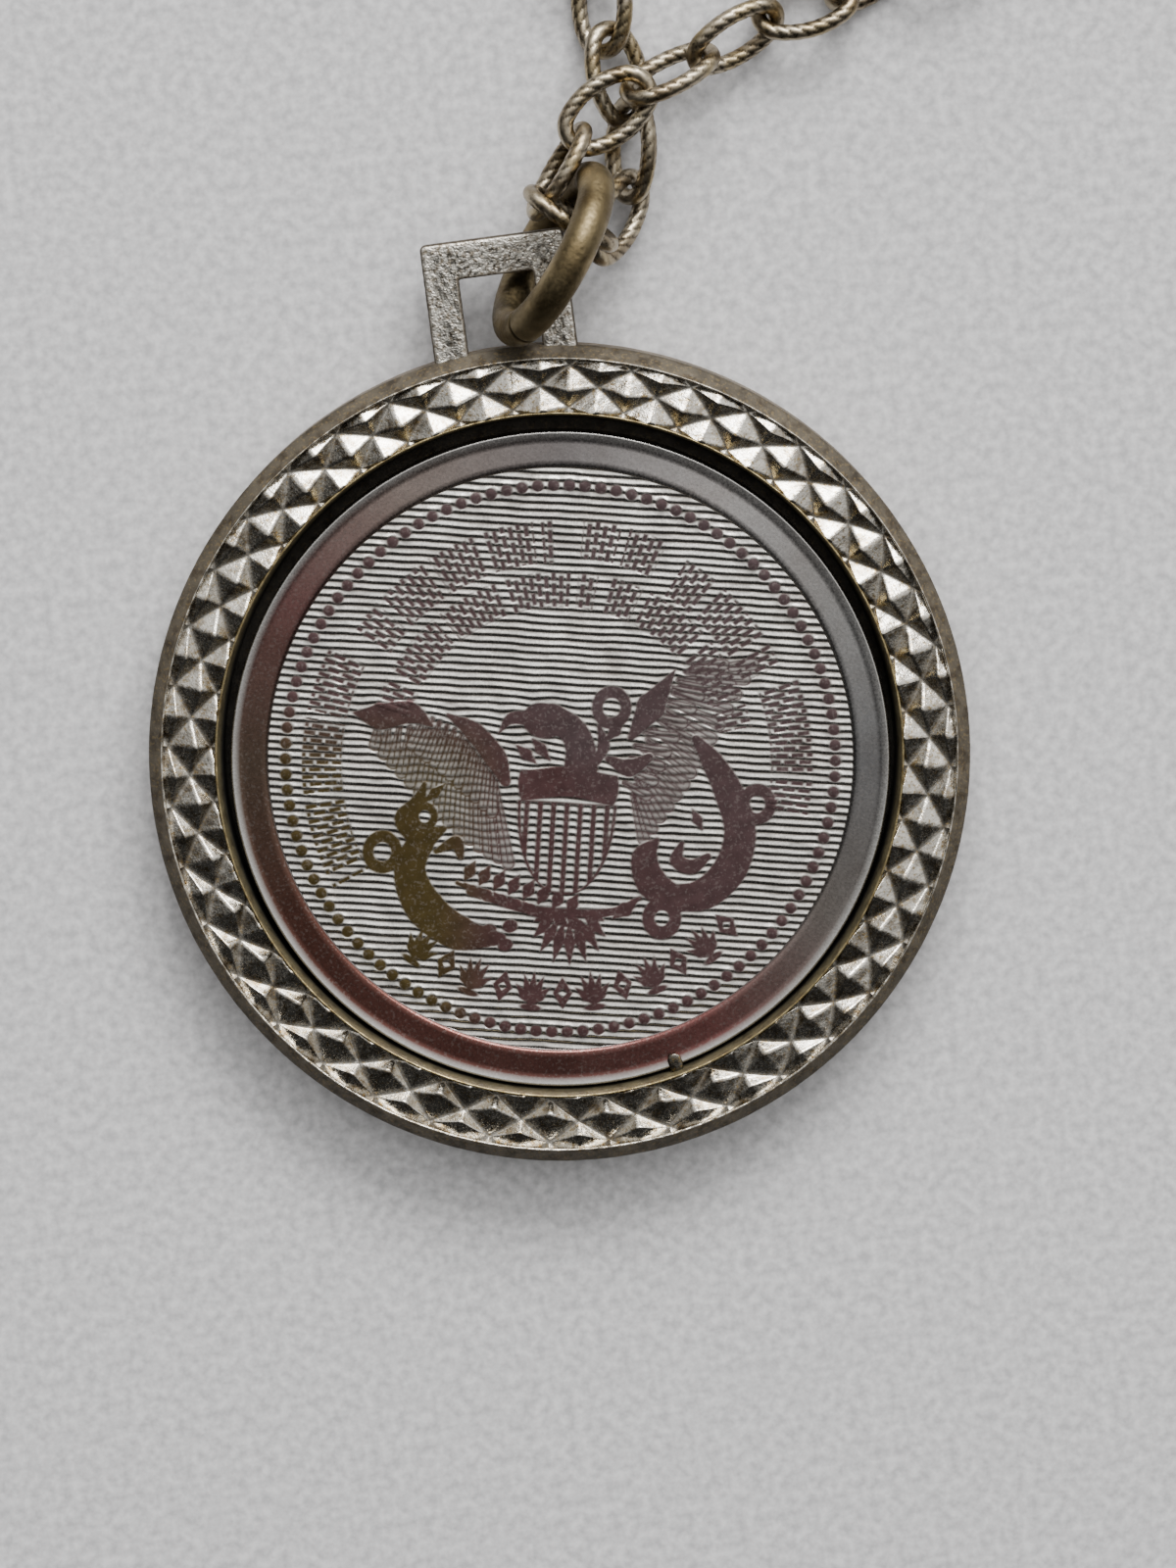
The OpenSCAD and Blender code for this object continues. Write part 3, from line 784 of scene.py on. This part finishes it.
def legend(p):
    """A border of plain lozenges and palmettes along the lower edge."""
    best = np.full(len(p), 99.0)
    radius = 12.3
    for k in range(12):
        a = math.radians(-123 + 7.4 * k)
        out = np.array([math.cos(a), math.sin(a)])
        along = np.array([-out[1], out[0]])
        away = p - radius * out
        q = np.stack([away @ along, -(away @ out)], 1)
        if k % 2:
            mark = np.maximum(np.abs(q[:, 0]) * 1.25 + np.abs(q[:, 1]) * 0.75 - 0.66,
                              0.22 - np.abs(q[:, 0]) - np.abs(q[:, 1]))
        else:
            mark = np.minimum.reduce(
                [leaf(q, (0, -0.7), (1.1 * math.sin(t), -0.7 + 1.75 * math.cos(t)), 0.27)
                 for t in (-0.95, -0.48, 0, 0.48, 0.95)] + [ellipse(q, (0, -0.85), (0.6, 0.2))])
        best = np.minimum(best, mark)
    return best


def rays(p):
    """Groups of short dashes that point outward, in rings round the upper part of the field."""
    r = np.hypot(p[:, 0], p[:, 1] + 0.3)
    a = np.degrees(np.arctan2(p[:, 1] + 0.3, p[:, 0])) % 360
    best = np.full(len(p), 99.0)
    for low, high, pitch, start, end, group in (
            (11.0, 13.2, 1.7, -8, 24, 99), (10.4, 12.6, 1.9, 28, 62, 17), (10.9, 12.9, 1.9, 66, 88, 11),
            (10.6, 12.8, 1.9, 95, 150, 14), (11.4, 13.5, 1.7, 156, 212, 19), (8.3, 10.2, 2.3, 15, 78, 22),
            (8.3, 10.1, 2.3, 82, 166, 22)):
        turn = (a + 180) % 360 - 180 if start < 0 else a
        column = np.floor(turn / pitch)
        inside = (turn >= start) & (turn <= end) & (turn % group >= pitch)
        d = np.abs(turn / pitch - column - 0.5) * pitch * np.pi / 180 * r - 0.125
        broken = 0.07 - np.abs((r / 0.8 + 0.5 * (column % 2)) % 1 - 0.5) * 0.8
        d = np.maximum.reduce([d, low - r, r - high, broken])
        best = np.where(inside, np.minimum(best, d), best)
    return best


def beads(p, radius=14.35, count=110, size=0.32):
    r = np.hypot(p[:, 0], p[:, 1])
    a = np.arctan2(p[:, 1], p[:, 0]) / TAU * count
    return np.hypot(r - radius, (a - np.round(a)) / count * TAU * radius) - size


# painted highlight for the tops of the coin's line ridges, painted shade for the base between them
LINE_HIGHLIGHT = np.array([0.93, 0.915, 0.87])
LINE_SHADE = np.array([0.20, 0.18, 0.16])
# painted reflection tints for the coin's relief: dark plum, and grey
PLUM_REFLECTION = np.array([0.088, 0.044, 0.045])
DEVICE_OLIVE = np.array([0.070, 0.050, 0.016])
GREY_REFLECTION = np.array([0.088, 0.070, 0.075])


def front_field(bag):
    rows = int(2 * FIELD_R / (LINE_PITCH / LINES_PER)) - 1
    cols = 440
    edge = FIELD_R - 0.02
    y = np.linspace(-edge * 0.9995, edge * 0.9995, rows)
    half = np.sqrt(edge ** 2 - y ** 2)
    t = np.linspace(-1, 1, cols)
    p = np.stack([(half[:, None] * t[None]).ravel(), np.repeat(y, cols)], 1)
    (bird, feathers, quills), (strip, shield_body) = device(p), shield(p)
    spray, marks, ray, bead = sprays(p), legend(p), rays(p), beads(p)
    left, right = scrolls(p)
    flat = np.minimum.reduce([bird, strip, spray, marks, left, right])
    soft = 0.05
    fine_points = np.column_stack([p, np.zeros(len(p))])
    solid = smoothstep(soft, -soft, flat)
    plume = smoothstep(soft, -soft, feathers) * (1 - solid)
    dots = np.maximum(smoothstep(soft, -soft, ray), smoothstep(soft, -soft, bead))
    dots = np.maximum(dots, plume * (0.62 + 0.38 * quills))
    # the engine-turned lines waver where they pass the relief
    near = smoothstep(1.2, -0.2, np.minimum(bird, feathers))
    wander = 0.06 * np.sin(p[:, 0] * 2.6 + p[:, 1] * 1.9) * near
    wander = wander + 0.03 * wave_noise(fine_points * [1, 0.4, 1], 2.4, 35, 2)
    phase = ((p[:, 1] + wander) / LINE_PITCH) % 1
    ridge = np.clip(np.minimum(phase / 0.3, (1 - phase) / 0.7), 0, 1)
    broken = smoothstep(0.0, 0.6, wave_noise(fine_points * [0.6, 1, 1], 1.6, 31, 3))
    ridge *= 1 - 0.18 * broken
    lines = (1 - solid) * (1 - dots)
    z = FIELD_Z + 0.075 * ridge * lines
    z += 0.045 * solid + 0.02 * dots + 0.06 * smoothstep(0.3, -0.3, bead)
    z += 0.03 * smoothstep(2.5, -0.5, np.minimum(bird, shield_body))
    fine = wave_noise(fine_points, 0.7, 33, 3)
    z += 0.004 * fine * solid
    worn = (0.5 + 0.5 * wave_noise(fine_points, 6.0, 34, 3))[:, None]
    # painted highlight on each ridge and painted shade between the ridges, with random wear and unevenness
    line_light_and_shade = LINE_SHADE + (LINE_HIGHLIGHT - LINE_SHADE) * smoothstep(0.05, 0.55, ridge)[:, None]
    uneven = wave_noise(fine_points * [0.5, 1, 1], 0.8, 36, 2)[:, None]
    line_light_and_shade = line_light_and_shade * (0.80 + 0.22 * worn + 0.12 * uneven)
    # the relief is painted with a dark reflection: plum, turning grey towards the upper right; olive towards
    # the lower left
    angle = np.arctan2(p[:, 1], p[:, 0])
    cold = (0.5 + 0.5 * np.cos(angle - math.radians(60)))[:, None]
    shape = PLUM_REFLECTION * (1 - cold * 0.6) + GREY_REFLECTION * cold * 0.6
    olive = smoothstep(-2.0, -6.5, p[:, 0])[:, None] * smoothstep(3, -2, p[:, 1])[:, None]
    shape = shape * (1 - olive) + DEVICE_OLIVE * olive
    shape = shape * (0.85 + 0.3 * (0.5 + 0.5 * fine))[:, None]
    dark = np.maximum(solid, dots)[:, None]
    tone = np.column_stack([line_light_and_shade * (1 - dark) + shape * dark, 1 - 0.35 * dark])
    grid_top = np.column_stack([p, z])
    verts = [grid_top]
    # skirt and floor, sunk into the coin's body
    ring = np.concatenate([np.arange(cols), (np.arange(1, rows) * cols + cols - 1),
                           ((rows - 1) * cols + np.arange(cols - 2, -1, -1)),
                           (np.arange(rows - 2, 0, -1) * cols)])
    low = grid_top[ring].copy()
    low[:, 2] = FIELD_Z - 0.12
    base = len(grid_top)
    verts.append(low)
    n = len(ring)
    k = np.arange(n)
    after = (k + 1) % n
    walls = np.stack([ring[after], ring, base + k, base + after], 1)
    verts.append(np.array([[0, 0, FIELD_Z - 0.12]]))
    bottom = np.stack([base + after, base + k, np.full(n, base + n)], 1)
    out = np.concatenate(verts) @ rot("Z", COIN_TURN).T
    tone = np.concatenate([tone, np.tile([*PLUM_REFLECTION, 1], (n + 1, 1))])
    bag.add(out, (np.concatenate([grid_faces(rows, cols), walls]), bottom), tone)


def back_field(bag):
    """The back isn't in the picture: a plain rosette inside rings and beads."""
    rings, steps = 200, 480
    r = np.linspace(0.02, 15.2, rings)
    a = np.arange(steps) / steps * TAU
    rr, aa = np.meshgrid(r, a, indexing="ij")
    petals = 4.6 + 2.6 * np.abs(np.cos(3 * aa))
    rosette = smoothstep(0.15, -0.15, rr - petals)
    wreath = np.abs(rr - 10.6 - 0.5 * np.sin(24 * aa)) - 0.28
    bead = np.hypot(rr - 14.2, ((aa / TAU * 96 + 0.5) % 1 - 0.5) / 96 * TAU * 14.2) - 0.3
    guilloche = 0.5 + 0.5 * np.cos(rr * TAU / 0.6 + 0.8 * np.sin(36 * aa))
    plain = (1 - rosette) * smoothstep(0.1, 0.3, wreath)
    z = COIN_Z + FIELD_DROP - 0.05 * guilloche * plain - 0.12 * rosette
    z -= 0.12 * smoothstep(0.15, -0.15, wreath)
    z -= 0.12 * smoothstep(0.1, -0.1, bead) + 0.03 * rosette * np.cos(6 * aa) * np.cos(rr * 2)
    p = np.stack([rr * np.cos(aa), rr * np.sin(aa), z], -1).reshape(-1, 3)
    # painted highlight on the back's guilloche ridges, painted shade between them
    tone = (LINE_SHADE + (LINE_HIGHLIGHT - LINE_SHADE) * (guilloche * plain).ravel()[:, None] * 0.8)
    dark = np.maximum.reduce([rosette, smoothstep(0.1, -0.1, wreath), smoothstep(0.1, -0.1, bead)])
    dark = dark.ravel()[:, None]
    tone = tone * (1 - dark) + PLUM_REFLECTION * 1.3 * dark
    faces = list(grid_faces(rings, steps, wrap_cols=True))
    base = len(p)
    faces.append([int(k) for k in range(steps)][::-1])
    low = p[-steps:].copy()
    low[:, 2] = COIN_Z + FIELD_DROP + 0.15
    faces += [(base - steps + k, base + k, base + (k + 1) % steps, base - steps + (k + 1) % steps)
              for k in range(steps)]
    faces.append([base + k for k in range(steps)])
    faces = [list(f)[::-1] for f in faces]
    bag.add(np.concatenate([p, low]), faces, np.concatenate([tone, np.tile(PLUM_REFLECTION, (steps, 1))]))


# painted reflection on the coin's polished border: an sRGB tone for each picture angle, maroon at the lower
# left, blue-grey at the top and right
BORDER_REFLECTION_TONES = {0: (114, 114, 115), 30: (134, 133, 132), 60: (149, 146, 145), 90: (114, 110, 110),
                120: (128, 117, 112), 150: (113, 82, 80), 180: (95, 81, 71), 210: (86, 59, 52),
                240: (96, 64, 59), 270: (90, 62, 58), 300: (114, 77, 75), 330: (125, 119, 115)}


def srgb(c):
    c = np.asarray(c, float) / 255
    return np.where(c <= 0.04045, c / 12.92, ((c + 0.055) / 1.055) ** 2.4)


def coin_piece():
    bag = Bag()
    corners = [(0.4, FIELD_Z - 0.06), (FIELD_R - 0.2, FIELD_Z - 0.06), (FIELD_R - 0.03, FIELD_Z + 0.01),
               (FIELD_R + 0.02, FIELD_Z + 0.12), (FIELD_R + 0.18, COIN_TOP - 0.17),
               (COIN_R - 0.48, COIN_TOP - 0.16),
               (COIN_R - 0.14, COIN_TOP), (COIN_R - 0.06, COIN_TOP - 0.01), (COIN_R, COIN_TOP - 0.1),
               (COIN_R, COIN_Z + 0.12), (COIN_R - 0.1, COIN_Z), (FIELD_R + 0.2, COIN_Z),
               (FIELD_R, COIN_Z + FIELD_DROP + 0.03), (0.4, COIN_Z + FIELD_DROP + 0.03)]
    tones = [PLUM_REFLECTION] * 2 + [np.array([0.4, 0.4, 0.4])] * 4 + [np.array([0.85, 0.84, 0.82])] * 2 + [BROWN] * 6
    profile, shade = fine_profile(corners, tones, 0.2)
    verts, faces, tone = lathe(profile, shade, 720)
    r = np.hypot(verts[:, 0], verts[:, 1])
    picture_angle = (np.degrees(np.arctan2(verts[:, 1], verts[:, 0])) + LAY_TURN) % 360
    keys = sorted(BORDER_REFLECTION_TONES)
    border = np.stack([np.interp(picture_angle, keys + [360], [srgb(BORDER_REFLECTION_TONES[k])[c] for k in keys]
                                 + [srgb(BORDER_REFLECTION_TONES[0])[c]]) for c in range(3)], 1)
    on = (r > FIELD_R) & (r < COIN_R - 0.46) & (verts[:, 2] > COIN_TOP - 0.3)
    # painted light: the border is made brighter towards the upper right, where the key light is
    painted_light_gain = 1.5 + 1.3 * np.clip(np.cos(np.radians(picture_angle - 70)), 0, 1)
    tone[on] = np.clip((border * painted_light_gain[:, None])[on], 0, 1)
    bag.add(verts, faces, tone)
    front_field(bag)
    back_field(bag)
    for verts in bag.verts:
        verts[:, 1] -= COIN_DROP
    return bag.make("coin_struck")


finish_piece(coin_piece(), MAT_COIN, "pendant", "coin_silver", "coin")


# ---------------------------------------------------------------- wire ring
def tube(curve, radius, sides):
    """A round bar along a closed curve; radius may change with (place along, angle round)."""
    curve = np.asarray(curve, float)
    n = len(curve)
    ahead = np.roll(curve, -1, 0) - np.roll(curve, 1, 0)
    ahead /= np.linalg.norm(ahead, axis=1)[:, None]
    up = np.tile([0.0, 0.0, 1.0], (n, 1))
    side = np.cross(up, ahead)
    side /= np.linalg.norm(side, axis=1)[:, None]
    up = np.cross(ahead, side)
    angle = np.arange(sides) / sides * TAU
    aa, ss = np.meshgrid(angle, np.arange(n) / n, indexing="xy")
    rr = radius(ss, aa) if callable(radius) else np.full(ss.shape, radius)
    out = np.cos(aa)[..., None] * side[:, None] + np.sin(aa)[..., None] * up[:, None]
    verts = curve[:, None] + rr[..., None] * out
    faces = grid_faces(n, sides, wrap_rows=True, wrap_cols=True)[:, ::-1]
    return verts.reshape(-1, 3), faces, ss, aa


def ring_piece():
    n, sides = 720, 48
    a = np.arange(n) / n * TAU
    circle = np.stack([RING_R * np.cos(a), RING_R * np.sin(a), 0 * a], 1)
    verts, faces, ss, _ = tube(circle, RING_WIRE / 2, sides)
    dent = wave_noise(verts, 1.6, 41, 3)
    seam = np.abs((ss.ravel() - 0.58 + 0.5) % 1 - 0.5) * TAU * RING_R
    shrink = 0.012 * (0.5 + 0.5 * dent) + 0.09 * np.exp(-(seam / 0.06) ** 2)
    axis = np.repeat(circle, sides, 0)
    verts = verts + (axis - verts) * (shrink / (RING_WIRE / 2))[:, None]
    base = np.array([0.215, 0.172, 0.095])
    dark = np.array([0.08, 0.06, 0.035])
    worn = smoothstep(-0.2, 0.7, wave_noise(verts, 3.2, 42, 3))[:, None]
    tone = base * (0.75 + 0.5 * worn) * (1 - 0.8 * np.exp(-(seam / 0.07) ** 2))[:, None]
    tone += dark * 0.2
    verts = verts @ (rot("Z", RING_TURN) @ rot("X", -RING_LEAN)).T + np.array(RING_CENTRE)
    return mesh_object("wire_ring_brass", verts, faces, True, np.clip(tone, 0, 1))


finish_piece(ring_piece(), MAT_RING, "wire_ring", "aged_brass", "bail_ring")


# ---------------------------------------------------------------- chain links
def link_curve(n=132):
    points = []
    quarter = n // 4
    for turn in (0, 180):
        ends = np.linspace(-END_HALF, END_HALF, quarter, endpoint=False)
        sides = np.linspace(END_HALF, math.pi - END_HALF, quarter, endpoint=False)
        end = np.stack([END_X + END_R * np.cos(ends), END_R * np.sin(ends), 0 * ends], 1)
        side = np.stack([SIDE_R * np.cos(sides), HALF_W - SIDE_R + SIDE_R * np.sin(sides), 0 * sides], 1)
        points += [end @ rot("Z", turn).T, side @ rot("Z", turn).T]
    curve = np.concatenate(points)
    closed = np.vstack([curve, curve[:1]])
    d = np.r_[0, np.cumsum(np.linalg.norm(np.diff(closed, axis=0), axis=1))]
    at = np.linspace(0, d[-1], n, endpoint=False)
    return np.stack([np.interp(at, d, closed[:, k]) for k in range(3)], 1)


def link_mesh(detail=1.0):
    """One link whose wire is cut with slanting flutes, worn smooth at its two ends."""
    n, sides = int(176 * detail) // 4 * 4, int(24 * detail)
    curve = link_curve(n)
    length = np.linalg.norm(np.diff(np.vstack([curve, curve[:1]]), axis=0), axis=1).sum()
    cuts = round(length / 0.62)

    def radius(s, a):
        phase = s * cuts - 4 * a / TAU
        cut = smoothstep(0.76, 1.0, 0.5 + 0.5 * np.cos(TAU * phase))
        x = np.interp(s.ravel(), np.arange(n) / n, curve[:, 0]).reshape(s.shape)
        smooth_end = smoothstep(HALF_L - 0.75, HALF_L - 0.1, np.abs(x))
        inside = 0.35 + 0.65 * smoothstep(-0.2, 0.5, np.abs(np.sin(a)) + 0.4 * np.cos(a))
        return LINK_WIRE / 2 * (1 - 0.11 * cut * (1 - 0.7 * smooth_end) * inside)

    verts, faces, ss, aa = tube(curve, radius, sides)
    groove = smoothstep(1.0, 0.92, radius(ss, aa).ravel() / (LINK_WIRE / 2))
    return verts, faces, groove


LINK = link_mesh()
LINK_LIGHT = link_mesh(0.6)
CHAIN_SILVER = np.array([0.43, 0.375, 0.28])
CHAIN_BRASS = np.array([0.42, 0.33, 0.17])
CHAIN_DARK = np.array([0.05, 0.038, 0.025])
PLACE_LIMIT = 2e-4      # metres that a link may differ from its CAD node


def lay(place, heading, tip=0, roll=0):
    m = rot("Z", -LAY_TURN)
    turn = m @ rot("Z", heading) @ rot("Y", -tip) @ rot("X", roll)
    return turn, m @ np.asarray(place, float)


def add_link(bag, shape, place, heading, tip, roll):
    verts, faces, groove = shape
    turn, where = lay(place, heading, tip, roll)
    world_verts = verts @ turn.T + where
    brass = smoothstep(0.05, 0.75, wave_noise(world_verts, 2.0, 51, 2))[:, None]
    tone = CHAIN_SILVER * (1 - 0.6 * brass) + CHAIN_BRASS * 0.6 * brass
    tone = tone * (1 - 0.85 * groove[:, None]) + CHAIN_DARK * 0.85 * groove[:, None]
    bag.add(world_verts, faces, tone)


def chain_piece(name, links, body, node, shape):
    bag = Bag()
    for link in links:
        add_link(bag, shape, *link)
    finish_piece(bag.make(name), MAT_CHAIN, body, "chain_silver", node)
    low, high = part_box(node)
    got = np.concatenate(bag.verts) * MM
    assert np.abs(np.array([got.min(0), got.max(0)]) - np.array([low, high])).max() < PLACE_LIMIT, node


for k, (x, y, z, heading, tip, roll) in enumerate(LINKS):
    chain_piece(f"cut_link_{k + 1}", [((x, y, z), heading, tip, roll)], f"link_{k + 1}",
                f"chain_link_{k + 1}", LINK)


def lead_joint(start, headings, n):
    p = np.array(start, float)
    for h in headings[:n]:
        p = p + LINK_PITCH * np.array([math.cos(math.radians(h)), math.sin(math.radians(h))])
    return p


def coil_radius(a):
    return COIL_R - COIL_STEP * a / 360


def coil_joints(n):
    a, out = 0.0, []
    for _ in range(n + 1):
        out.append(coil_radius(a) * np.array([math.cos(math.radians(a)), math.sin(math.radians(a))]))
        a += 2 * math.degrees(math.asin(LINK_PITCH / 2 / coil_radius(a)))
    return out


def degrees_of(v):
    return math.degrees(math.atan2(v[1], v[0]))


for name, (start, headings) in LEADS.items():
    links = []
    for i, h in enumerate(headings):
        middle = (lead_joint(start, headings, i) + lead_joint(start, headings, i + 1)) / 2
        links.append(((*middle, REST_Z), h, 0, 45 if i % 2 == 0 else -45))
    chain_piece(f"{name}_lead_links", links, f"{name}_chain", f"{name}_lead", LINK_LIGHT)
    centre = lead_joint(start, headings, len(headings)) + np.array([0, COIL_R])
    side, count = COILS[name]
    joints = coil_joints(count)
    links = []
    for i in range(count):
        a, b = joints[i], joints[i + 1]
        angle = math.radians(side * degrees_of(a + b) - 90)
        middle = centre + np.linalg.norm(a + b) / 2 * np.array([math.cos(angle), math.sin(angle)])
        roll = COIL_ROLL if i % 2 == 0 else -COIL_ROLL
        links.append(((*middle, REST_Z), side * degrees_of(b - a) - 90, 0, roll))
    share = count // 4
    for k in range(4):
        chain_piece(f"{name}_coil_links_{k + 1}", links[k * share:(k + 1) * share], f"{name}_chain",
                    f"{name}_coil_{k + 1}", LINK_LIGHT)

# ---------------------------------------------------------------- clasp, as the CAD has it
for node, mat in (("clasp_jump_ring", MAT_CLASP), ("clasp_ring", MAT_CLASP), ("clasp_gate", MAT_SPRING),
                  ("end_ring", MAT_CLASP)):
    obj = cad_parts[node]
    obj.data.materials.clear()
    obj.data.materials.append(mat)


def spring_piece():
    """The gate's coil spring: the CAD's spring copied, given the spring material, with its transform baked
    in.
    """
    obj = bpy.data.objects.new("gate_coil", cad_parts["clasp_spring"].data.copy())
    scene.collection.objects.link(obj)
    obj.data.materials.clear()
    obj.data.materials.append(MAT_SPRING)
    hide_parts("clasp_spring")
    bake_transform(obj)


spring_piece()

# ---------------------------------------------------------------- floor
TABLE_HALF, TABLE_Z = 3000, -0.02
TABLE_CORNERS = ((-1, -1), (1, -1), (1, 1), (-1, 1))
table_points = [(x * TABLE_HALF, y * TABLE_HALF, TABLE_Z) for x, y in TABLE_CORNERS]
floor = mesh_object("table", table_points, [(0, 1, 2, 3)])
paper = bpy.data.materials.new("table_paint")
paper.use_nodes = True
pt = paper.node_tree
place = node_of(pt, "ShaderNodeTexCoord", {}).outputs["Object"]
specks = noise_of(pt, place, 1800, 6)
shade = ramp_of(pt, specks, (0.32, (0.40, 0.40, 0.415)), (0.68, (0.62, 0.62, 0.635)))
texture = node_of(pt, "ShaderNodeBump", {"Strength": 0.12, "Distance": 0.00008, "Height": specks})
wire(pt, pt.nodes["Principled BSDF"], {"Base Color": shade, "Roughness": 0.75, "Normal": texture.outputs[0]})
floor.data.materials.append(paper)
